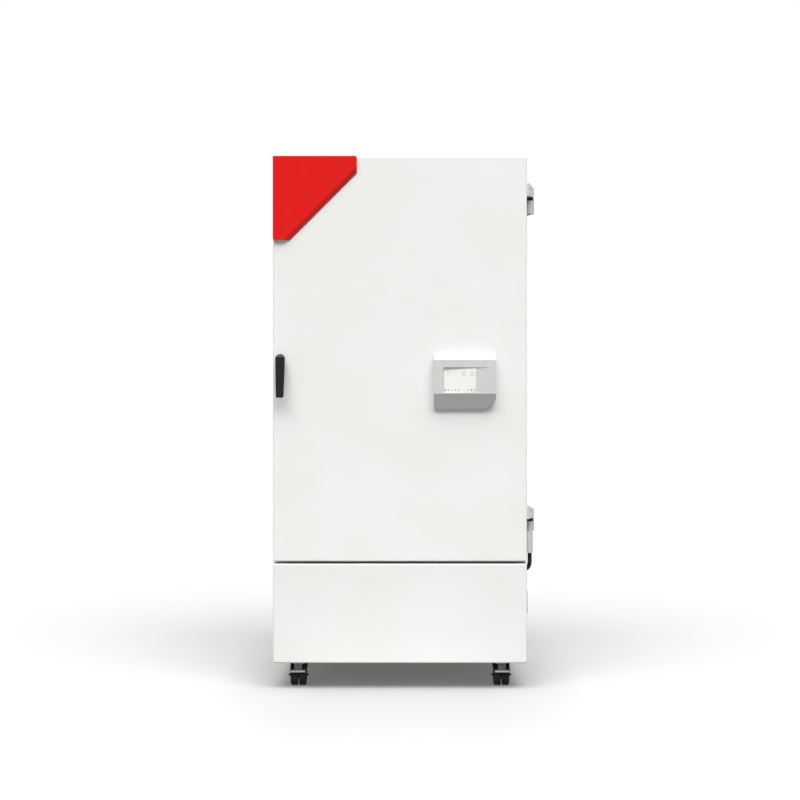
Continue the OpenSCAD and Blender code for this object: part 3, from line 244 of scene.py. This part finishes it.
finishes = {
    "white_coated_steel": powderCoat("powderCoatCabinet", "#e8e8e5", "#ececea"),
    "door_coated_steel": powderCoat("powderCoatDoor", "#ecece9", "#f0f0ee"),
    "rear_coated_steel": powderCoat("powderCoatRear", "#dcdcd9", "#e3e3e1", 0.5),
    "galvanised_steel": galvanisedSheet("galvanisedSheet", "#9a9fa2", "#c8ccce"),
    "rigid_foam": blownFoam("blownFoam"),
    "stainless_liner": groundStainless("groundStainlessLiner", "#b9bcbe", "#d6d8d9", 0.32),
    "inner_panel_steel": groundStainless("groundStainlessDoor", "#bcbfc1", "#d8dadb", 0.34),
    "stainless_fittings": groundStainless("groundStainlessFittings", "#b2b5b7", "#d2d4d5", 0.28,
                                          (1, 0.05, 0.05)),
    "frame_plastic": mouldedPlastic("mouldedFrame", "#d6d6d3", "#dfdfdc", 0.5),
    "silicone_seal": mouldedRubber("siliconeSeal", "#c9c9c2", "#d8d8d2", 0.5),
    "motor_enamel": stoveEnamel("motorEnamel", "#33373b", "#41464b", 0.35),
    "fin_aluminium": groundStainless("rolledAluminiumFins", "#a8adb0", "#c9cdcf", 0.38, (1, 1, 0.1)),
    "heater_sheath": groundStainless("drawnHeaterSheath", "#6f675c", "#948a7c", 0.42, (1, 1, 1), 0.006),
    "black_plastic": mouldedPlastic("blackPolyamide", "#161718", "#202123", 0.48),
    "black_enamel": stoveEnamel("blackStoveEnamel", "#17181a", "#26282a"),
    "copper": drawnCopper("drawnCopper"),
    "hinge_grey": powderCoat("powderCoatHinge", "#c2c3c2", "#cccdcc", 0.45),
    "hinge_white": powderCoat("powderCoatKnuckle", "#e4e4e2", "#eaeae8", 0.42),
    # partly painted shade: the bush between each hinge knuckle and bracket is a real part, made black so
    # that it also stands for the shadow in the gap there
    "bush_black": mouldedPlastic("acetalBushPaintedGapShade", "#161617", "#202022", 0.35),
    "cable_rubber": mouldedRubber("cableRubber", "#151516", "#222223", 0.5),
    "grommet_rubber": mouldedRubber("grommetRubber", "#1c1c1e", "#29292b"),
    "zinc_steel": zincPlate("zincPlate", "#d8d7d0", "#efeee8", 0.46),
    "gasket_grey": mouldedRubber("gasketVinyl", "#868b8d", "#979c9e", 0.5),
    "red_plastic": mouldedPlastic("redAbs", "#e00600", "#e40800", 0.3, 0.0012, 0.00002),
    "controller_grey": mouldedPlastic("lightGreyAbs", "#cacac8", "#cfcfcd", 0.4),
    "display": litDisplay("litDisplay"),
    "circuit_board": circuitBoard("circuitBoard"),
    "conduit_grey": mouldedPlastic("greyPolycarbonate", "#c8c9c8", "#d1d2d1", 0.4),
    "handle_black": mouldedPlastic("handlePolyamide", "#0e0d0c", "#151413", 0.34),
    "safety_glass": toughenedGlass("toughenedGlass"),
    "latch_black": mouldedPlastic("latchPolyamide", "#222325", "#2d2e31", 0.4),
    "chromed_wire": chromedWire("chromedWire", "#b9bcbe", "#dcdedf"),
    "impeller_aluminium": groundStainless("pressedAluminium", "#a4a8ab", "#c6cacc", 0.34,
                                          (1, 0.2, 1), 0.004),
    "blade_plastic": mouldedPlastic("bladePolypropylene", "#25272a", "#313437", 0.5),
    "rocker_green": mouldedPlastic("greenPolycarbonate", "#26803b", "#34a24e", 0.25),
    "silicone_plug": mouldedRubber("siliconePlug", "#bfc1be", "#d2d4d1", 0.55),
    "caster_nylon": mouldedPlastic("casterPolyamide", "#1c1c1d", "#272728", 0.42),
    "wheel_tyre": mouldedRubber("tyrePolyurethane", "#101011", "#1a1a1b", 0.5),
    "display_faint": litMarks("displayMarksFaint", "#c4c8c6", "#cdd0ce"),
    "display_dark": litMarks("displayMarksDark", "#6d7472", "#7c8280"),
}
print("materials made:", len(finishes))

slotOf = {part["node"]: part["material_slot"] for part in frame["record"]["subparts"]}
for name, node in nodes.items():
    node.data.materials.clear()
    node.data.materials.append(finishes[slotOf[name]])


# Quads between the neighbours of a rows by cols grid; a closed side joins its last points to its first.
def gridFaces(rows, cols, closeRows=False, closeCols=True):
    i, j = np.meshgrid(
        np.arange(rows - (not closeRows)), np.arange(cols - (not closeCols)), indexing="ij")
    k, l = (i + 1) % rows, (j + 1) % cols
    return np.stack([i * cols + j, i * cols + l, k * cols + l, k * cols + j], -1).reshape(-1, 4)


# Joins parts, each its points, quads and closing faces, into one object that rides on a body.
def putMesh(name, parts, slot, body, crease=40):
    points, faces, start = [], [], 0
    for corners, quads, ends in parts:
        points.append(corners.reshape(-1, 3))
        faces += (quads + start).tolist() + [[v + start for v in ring] for ring in ends]
        start += len(points[-1])
    mesh = bpy.data.meshes.new(name)
    mesh.from_pydata(np.concatenate(points).tolist(), [], faces)
    mesh.polygons.foreach_set("use_smooth", np.ones(len(mesh.polygons), bool))
    mesh.set_sharp_from_angle(angle=math.radians(crease))
    mesh.materials.append(finishes[slot])
    obj = bpy.data.objects.new(name, mesh)
    bpy.context.scene.collection.objects.link(obj)
    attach(obj, body)
    return obj


def endRings(rows, cols):  # the first and last ring of a grid as its two closing faces, both facing out
    return [list(range(cols))[::-1], list(range((rows - 1) * cols, rows * cols))]


# A profile carried along a path: point = path + across * profile x + rise * profile y,
# where across is the normal of the plane the path lies in and rise = across x tangent.
def carry(path, across, profile):
    tangent = np.gradient(path, axis=0)
    tangent /= np.linalg.norm(tangent, axis=1, keepdims=True)
    rise = np.cross(across, tangent)
    return path[:, None] + across * profile[..., :1] + rise[:, None] * profile[..., 1:]


# A turned or faceted head: rings of radius r(angle) at rising heights; a ring with sides n is a
# polygon, r = size / cos(angle within one side), and one with sides 0 is a circle.
def turnedHead(place, axis, rings, around=36):
    angle = np.arange(around) * 2 * np.pi / around
    size, height, sides = (np.array(column)[:, None] for column in zip(*rings))
    part = 2 * np.pi / np.maximum(sides, 1)
    radius = np.where(sides > 0, size / np.cos(np.mod(angle, part) - part / 2), size * np.ones(around))
    axis = np.array(axis, float)
    one = np.cross(axis, (0, 0, 1) if abs(axis[2]) < 0.9 else (1, 0, 0))
    two = np.cross(axis, one)
    points = (np.array(place) + one * (radius * np.cos(angle))[..., None]
              + two * (radius * np.sin(angle))[..., None] + axis * height[..., None])
    return points, gridFaces(len(rings), around), endRings(len(rings), around)


mm = 0.001

buttonHead = {
    "crown": [(1, 0), (1, 0.45), (0.93, 0.75), (0.74, 0.94), (0.62, 1)],  # shares of radius and height
    "mouth": 1.12,            # width of the socket's chamfered mouth, as a share of the socket's
    "chamfer": 0.12 * mm,
}
hingeScrew = {
    "head": 4.5 * mm,         # radius
    "height": 3.2 * mm,
    "socket": 2.2 * mm,       # half its width across flats
    "depth": 2.0 * mm,        # of the socket
    "seat": 5 * mm,           # from the cabinet's side to the counterbore's floor
    "hinge_brackets": {"depths": (-298, -278), "heights": (594.5, 1768)},  # Y and Z of the screws in mm
    "hinge_knuckles": {"depths": (-378, -358), "heights": (646, 1826)},
}
panelScrew = {
    "head": 4.7 * mm,
    "height": 2.2 * mm,
    "socket": 1.5 * mm,
    "depth": 0.6 * mm,
    "edge": 20 * mm,          # from the rear panel's edge to a screw
    "rows": 6,                # screws down each side
}


def screwRings(screw):  # button head with a hexagon socket, from its seat up and down into the socket
    top, flat = screw["height"], screw["socket"]
    crown = [(share * screw["head"], rise * top, 0) for share, rise in buttonHead["crown"]]
    return crown + [(flat * buttonHead["mouth"], top, 6), (flat, top - buttonHead["chamfer"], 6),
                    (flat, top - screw["depth"], 6)]


def hingeScrews():  # two screws through each hinge leaf, seated in its counterbores
    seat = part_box("outer_jacket")[1].x + hingeScrew["seat"]
    for node, body in (("hinge_brackets", "cabinet"), ("hinge_knuckles", "door")):
        heads = [turnedHead((seat, y * mm, z * mm), (1, 0, 0), screwRings(hingeScrew))
                 for z in hingeScrew[node]["heights"] for y in hingeScrew[node]["depths"]]
        putMesh(node + "_screws", heads, "zinc_steel", body)


hose = {
    "radius": 8.0 * mm,
    "groove": 0.9 * mm,       # depth of the corrugation
    "pitch": 3.4 * mm,        # distance between two ribs
    "bend": 32 * mm,          # radius of its quarter bend
    "turn": 120,              # direction it takes into the cabinet, in degrees from X
    "reach": 102 * mm,        # from the hinge axis to its end in the electronics box
    "steps": 8,               # rings to a rib
    "sides": 28,
}


# Along a drop, a quarter bend and a run of length s: r = radius - groove (1 - cos(2 pi s / pitch)) / 2.
def corrugatedHose():
    bush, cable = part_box("hinge_bushes"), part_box("door_cable")
    axis = (bush[0] + bush[1]) / 2
    top, foot, bend = cable[1].z, cable[0].z + hose["radius"], hose["bend"]
    drop, arc, run = top - foot - bend, bend * np.pi / 2, hose["reach"] - bend
    s = np.linspace(0, drop + arc + run, int((drop + arc + run) / hose["pitch"] * hose["steps"]))
    turn = np.clip(s - drop, 0, arc) / bend
    out = bend * (1 - np.cos(turn)) + np.clip(s - drop - arc, 0, None)
    down = np.clip(s, 0, drop) + bend * np.sin(turn)
    heading = math.radians(hose["turn"])
    way = np.array([math.cos(heading), math.sin(heading), 0])
    path = np.array([axis.x, axis.y, top]) + way * out[:, None] - np.array([0, 0, 1]) * down[:, None]
    radius = hose["radius"] - hose["groove"] * (1 - np.cos(2 * np.pi * s / hose["pitch"])) / 2
    angle = np.arange(hose["sides"]) * 2 * np.pi / hose["sides"]
    ring = np.stack([np.cos(angle), np.sin(angle)], -1) * radius[:, None, None]
    points = carry(path, np.cross(way, (0, 0, 1)), ring)
    part = (points, gridFaces(len(s), hose["sides"]), endRings(len(s), hose["sides"]))
    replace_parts(putMesh("corrugated_hose", [part], "cable_rubber", "cabinet", 80), "door_cable")


gasket = {
    # half of its section in mm, from the edge to the middle: how far in, and how far off the door
    "section": [(1, 0), (0.4, 1.2), (2.2, 2.6), (6.8, 3.4), (8.6, 4.6), (7.4, 6.0), (4.6, 7.2),
                (3.6, 9.0), (3.6, 12.4), (4.8, 13.7)],
    "width": 26 * mm,
}


def cornerCut(points):  # one round of corner cutting on a closed outline: each edge keeps its middle half
    after = np.roll(points, -1, axis=0)
    return np.stack([0.75 * points + 0.25 * after, 0.25 * points + 0.75 * after], 1).reshape(-1, 2)


# The section mirrored about its middle and carried round the door, with mitred and welded corners.
def doorGasket():
    low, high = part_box("door_gasket")
    half = np.array(gasket["section"]) * mm
    other = half[::-1] * (-1, 1) + (gasket["width"], 0)
    section = cornerCut(cornerCut(np.concatenate([half, other])))
    inward, outward = section[:, 0], low.y + section[:, 1] / section[:, 1].max() * (high.y - low.y)
    corners = [(low.x, low.z, 1, 1), (high.x, low.z, -1, 1), (high.x, high.z, -1, -1),
               (low.x, high.z, 1, -1)]
    points = np.stack([np.stack([x + sx * inward, outward, z + sz * inward], -1)
                       for x, z, sx, sz in corners])
    part = (points, gridFaces(4, len(section), True), [])
    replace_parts(putMesh("magnetic_gasket", [part], "gasket_grey", "door", 40), "door_gasket")


def rearScrews():  # one screw in each hole along the rear panel's edges
    low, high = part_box("rear_panel")
    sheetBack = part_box("rear_grille")[1].y
    edge = panelScrew["edge"]
    rows = np.linspace(low.z + edge, high.z - edge, panelScrew["rows"])
    places = [(x, sheetBack, z) for z in rows for x in (low.x + edge, high.x - edge)]
    places += [(0, sheetBack, z) for z in (rows[0], rows[-1])]
    heads = [turnedHead(place, (0, 1, 0), screwRings(panelScrew)) for place in places]
    putMesh("rear_panel_screws", heads, "zinc_steel", "cabinet")


screen = {
    "corner": (157 * mm, -440 * mm, 1085 * mm),  # left end of the ledge under the display
    "recess": 8 * mm,         # how deep the display's left edge lies in the housing
    "run": 174 * mm,          # width over which the recess comes up to the housing's face
    "lean": 4 / 120,          # backward slope of the housing's face
    "side": 1 * mm,           # from the recess's left end to the display
    "foot": 2.5 * mm,         # from the ledge to the display's lower edge
    "glass": 1 * mm,          # how far the display's face stands off the back of the recess
    "sillRise": 3.8 * mm,     # height of the sloping sill at its left end
    "sillEnds": 147 * mm,     # how far right it runs
    "sillBack": 1.2 * mm,     # gap between it and the back of the recess
    "sillFront": 0.1 * mm,    # and how far it stays behind the ledge's edge
    "digits": 5.2 * mm,       # height of the readings
    "digitShare": 0.7,        # a figure's height as a share of the typeface's size
    "barHeight": 1.6 * mm,
    "iconRadius": 2.9 * mm,
    # the rest is in mm from the display's lower left corner: x, z and text, x, z and width, x and sides
    "readings": [(73, 68.5, "23.0"), (104, 68.5, "23.0"), (73, 58.5, "45.0"), (104, 58.5, "45.0")],
    "labels": [(9, 77, 11), (9, 69.5, 15), (9, 59.5, 11), (67.5, 76, 11), (98.5, 76, 11)],
    "icons": [(6, 24), (17.5, 4), (29, 3), (41, 5), (53.5, 4), (88, 3), (100, 24), (112, 4)],
    "iconZ": 6.5,
}


def screenPlace(x, z, proud):  # a point on the display, x and z in metres from its lower left corner
    turn = Matrix.Rotation(-math.asin(screen["lean"]), 3, "X") @ Matrix.Rotation(
        -math.atan2(screen["recess"], screen["run"]), 3, "Z")
    return Vector(screen["corner"]) + turn @ Vector(
        (x + screen["side"], screen["recess"] - screen["glass"] - proud, z + screen["foot"]))


def onScreen(points, proud=0.05 * mm):  # flat points (x, z) in metres laid on the display
    origin = np.array(screenPlace(0, 0, proud))
    right = np.array(screenPlace(1, 0, proud)) - origin
    up = np.array(screenPlace(0, 1, proud)) - origin
    return origin + points[:, :1] * right + points[:, 1:] * up


def displaySill():  # a wedge on the ledge: depth and rise both shrink by (1 - t / run) along its length t
    left = 1 - np.array([0, screen["sillEnds"]]) / screen["run"]
    along, rise, level = (1 - left) * screen["run"], left * screen["sillRise"], 0 * left
    front, back = level + screen["sillFront"], left * screen["recess"] - screen["sillBack"]
    edges = [(along, front, level), (along, back, level), (along, back, rise)]
    points = np.array(screen["corner"]) + np.stack([np.stack(edge, -1) for edge in edges], 1)
    part = (points, gridFaces(2, 3), endRings(2, 3))
    putMesh("display_sill", [part], "controller_grey", "door", 20)


def flatShape(outline):  # one face on the display inside an outline given in metres
    return onScreen(outline), np.zeros((0, 4), int), [list(range(len(outline)))]


def bar(x, z, width, height):  # a bar with rounded ends: the superellipse |x|^4 + |z|^4 = 1
    angle = np.arange(24) * 2 * np.pi / 24
    circle = np.stack([np.cos(angle), np.sin(angle)], -1)
    return np.array((x, z)) + np.sign(circle) * np.abs(circle) ** 0.5 * (width / 2, height / 2)


def displayMarks():  # plain numbers, label bars and simple buttons, as thin faces just off the display
    bars = [flatShape(bar((x + width / 2) * mm, z * mm, width * mm, screen["barHeight"]))
            for x, z, width in screen["labels"]]
    putMesh("display_labels", bars, "display_faint", "door")
    buttons, radius = [], screen["iconRadius"]
    for x, sides in screen["icons"]:
        angle = np.arange(sides) * 2 * np.pi / sides + np.pi / 4
        buttons.append(flatShape(np.stack([x * mm + radius * np.cos(angle),
                                           screen["iconZ"] * mm + radius * np.sin(angle)], -1)))
    putMesh("display_buttons", buttons, "display_dark", "door")
    for i, (x, z, digits) in enumerate(screen["readings"]):
        curve = bpy.data.curves.new("reading", "FONT")
        curve.body, curve.size, curve.resolution_u = digits, screen["digits"] / screen["digitShare"], 3
        curve.align_x = curve.align_y = "CENTER"
        written = bpy.data.objects.new("reading", curve)
        bpy.context.scene.collection.objects.link(written)
        bpy.context.view_layer.update()
        ready = written.evaluated_get(bpy.context.evaluated_depsgraph_get())
        mesh = bpy.data.meshes.new_from_object(ready)
        bpy.data.objects.remove(written)
        flat = np.empty(len(mesh.vertices) * 3)
        mesh.vertices.foreach_get("co", flat)
        mesh.vertices.foreach_set("co", onScreen(flat.reshape(-1, 3)[:, :2] + (x * mm, z * mm)).ravel())
        mesh.materials.clear()
        mesh.materials.append(finishes["display_dark"])
        reading = bpy.data.objects.new(f"display_reading_{i + 1}", mesh)
        bpy.context.scene.collection.objects.link(reading)
        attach(reading, "door")


corrugatedHose()
doorGasket()
displaySill()
displayMarks()
rearScrews()
hingeScrews()
print("fittings made")

studio = {
    "horizon": 0.16,          # light that comes from all round, as a share of white
    "zenith": 0.55,           # and from straight above, where a wide cloth hangs
    "lamps": [(-28, 58, 2.12, 36), (28, 57, 2.31, 36)],  # side and height in degrees, strength, spread
    "lampDistance": 8,
    "floorReach": 60,         # how far the floor runs each way, in metres
    "floorSeen": 0.545,       # how pale the camera sees the open floor, so that it is just white
    "paintedFootShade": 0.76,        # painted shadow: what is left of that paleness right at the chamber's foot
    "footInset": 0.2,         # how far inside the chamber's side that foot ends, in metres
    "footNarrow": 2.2,        # how much sooner the painted shadow clears, and the thrown light fades, sideways than to the front
    "paintedShadeEnds": 0.95,        # distance from the foot at which the painted shadow has faded and the floor is open, in metres
    "floorNear": 0.50,        # how pale it is for the light it throws back near the chamber
    "floorFar": 0.24,         # and far off
    "nearEnds": 0.12,         # distances from the foot at which the one starts to fade
    "farStarts": 0.5,         # into the other and has done so, in metres
    "floorLift": 0.125,       # what the camera adds to the floor
}


# White to the camera and through glass; for the rest it brightens from the horizon upwards.
def studioWorld():
    world = bpy.data.worlds.new("studioWorld")
    world.use_nodes = True
    tree = world.node_tree
    tree.nodes.clear()
    place = addNode(tree, "ShaderNodeTexCoord", {})
    rise = addNode(tree, "ShaderNodeSeparateXYZ", {}, {"Vector": place.outputs["Generated"]})
    level = addNode(tree, "ShaderNodeMapRange", {"To Min": studio["horizon"], "To Max": studio["zenith"]},
                    {"Value": rise.outputs["Z"]})
    path = addNode(tree, "ShaderNodeLightPath", {})
    seen = addNode(tree, "ShaderNodeMath", {"operation": "MAXIMUM"},
                   {0: path.outputs["Is Camera Ray"], 1: path.outputs["Is Transmission Ray"]})
    white = addNode(tree, "ShaderNodeMath", {"operation": "MAXIMUM"},
                    {0: seen.outputs[0], 1: level.outputs["Result"]})
    sky = addNode(tree, "ShaderNodeBackground", {"Color": (1, 1, 1, 1)}, {"Strength": white.outputs[0]})
    addNode(tree, "ShaderNodeOutputWorld", {}, {"Surface": sky.outputs[0]})
    bpy.context.scene.world = world


def studioFloor():  # a wide floor that keeps the chamber's shadow, has a painted shadow darkening its colour near the chamber's foot, and fades into the white background
    far = studio["floorReach"]
    mesh = bpy.data.meshes.new("floor")
    mesh.from_pydata([(-far, -far, 0), (far, -far, 0), (far, far, 0), (-far, far, 0)], [], [(0, 1, 2, 3)])
    floor = bpy.data.objects.new("floor", mesh)
    bpy.context.scene.collection.objects.link(floor)
    material = bpy.data.materials.new("paleFloor")
    material.use_nodes = True
    tree = material.node_tree
    tree.nodes.clear()
    place = addNode(tree, "ShaderNodeTexCoord", {})
    low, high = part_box("base_front_panel")
    foot = high.x - studio["footInset"], -low.y, 0
    away = place.outputs["Object"]  # turned step by step into the distance from the chamber's foot
    for kind, other in (("ABSOLUTE", None), ("SUBTRACT", foot), ("MAXIMUM", (0, 0, 0)),
                        ("MULTIPLY", (studio["footNarrow"], 1, 1)), ("LENGTH", None)):
        step = addNode(tree, "ShaderNodeVectorMath", {"operation": kind}, {0: away})
        if other:
            step.inputs[1].default_value = other
        away = step.outputs["Value" if kind == "LENGTH" else "Vector"]
    thrown = addNode(tree, "ShaderNodeMapRange", {
        "From Min": studio["nearEnds"], "From Max": studio["farStarts"],
        "To Min": studio["floorNear"], "To Max": studio["floorFar"]}, {"Value": away})
    # painted shadow: the floor's colour as the camera sees it darkens towards the chamber's foot and
    # clears further out
    seenWithPaintedShade = addNode(tree, "ShaderNodeMapRange", {
        "From Max": studio["paintedShadeEnds"], "To Min": studio["floorSeen"] * studio["paintedFootShade"],
        "To Max": studio["floorSeen"]}, {"Value": away})
    path = addNode(tree, "ShaderNodeLightPath", {})
    pale = addNode(tree, "ShaderNodeMapRange", {}, {
        "Value": path.outputs["Is Camera Ray"], "To Min": thrown.outputs["Result"],
        "To Max": seenWithPaintedShade.outputs["Result"]})
    base = addNode(tree, "ShaderNodeBsdfDiffuse", {}, {"Color": pale.outputs["Result"]})
    lift = addNode(tree, "ShaderNodeMapRange", {"To Max": studio["floorLift"]},
                   {"Value": path.outputs["Is Camera Ray"]})
    glow = addNode(tree, "ShaderNodeEmission", {"Color": (1, 1, 1, 1)},
                   {"Strength": lift.outputs["Result"]})
    both = addNode(tree, "ShaderNodeAddShader", {}, {0: base.outputs[0], 1: glow.outputs[0]})
    addNode(tree, "ShaderNodeOutputMaterial", {}, {"Surface": both.outputs[0]})
    mesh.materials.append(material)


def studioLamps():  # broad soft lamps far off, left and right, above and in front
    for i, (side, height, strength, spread) in enumerate(studio["lamps"]):
        lamp = bpy.data.lights.new(f"softLamp{i + 1}", "SUN")
        lamp.energy = strength
        lamp.angle = math.radians(spread)
        holder = bpy.data.objects.new(lamp.name, lamp)
        a, e = math.radians(side), math.radians(height)
        towards = Vector((math.sin(a) * math.cos(e), -math.cos(a) * math.cos(e), math.sin(e)))
        holder.location = studio["lampDistance"] * towards
        holder.rotation_euler = (-towards).to_track_quat("-Z", "Y").to_euler()
        bpy.context.scene.collection.objects.link(holder)


camera = {
    "height": 1.058,          # of the lens above the floor, in metres
    "distance": 5.25,         # from the door's face
    "scale": 0.2746 / mm,     # photograph pixels for a metre at the door's face
    "frameWidth": 800,        # width of the photograph in pixels
    "sensor": 36.0,           # width of the film gate in mm
    "farthest": 200.0,        # how far the camera sees, in metres
}


def placeCamera():  # straight at the door; the focal length gives the photograph's scale there
    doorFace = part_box("door_skin")[0].y
    data = bpy.data.cameras.new("camera")
    data.sensor_width = camera["sensor"]
    data.lens = camera["scale"] * camera["distance"] / camera["frameWidth"] * camera["sensor"]
    data.clip_end = camera["farthest"]
    eye = bpy.data.objects.new("camera", data)
    eye.location = (0, doorFace - camera["distance"], camera["height"])
    eye.rotation_euler = (math.pi / 2, 0, 0)
    bpy.context.scene.collection.objects.link(eye)
    bpy.context.scene.camera = eye


studioWorld()
studioFloor()
studioLamps()
placeCamera()
bpy.context.scene.view_settings.view_transform = "Standard"
print("studio ready")
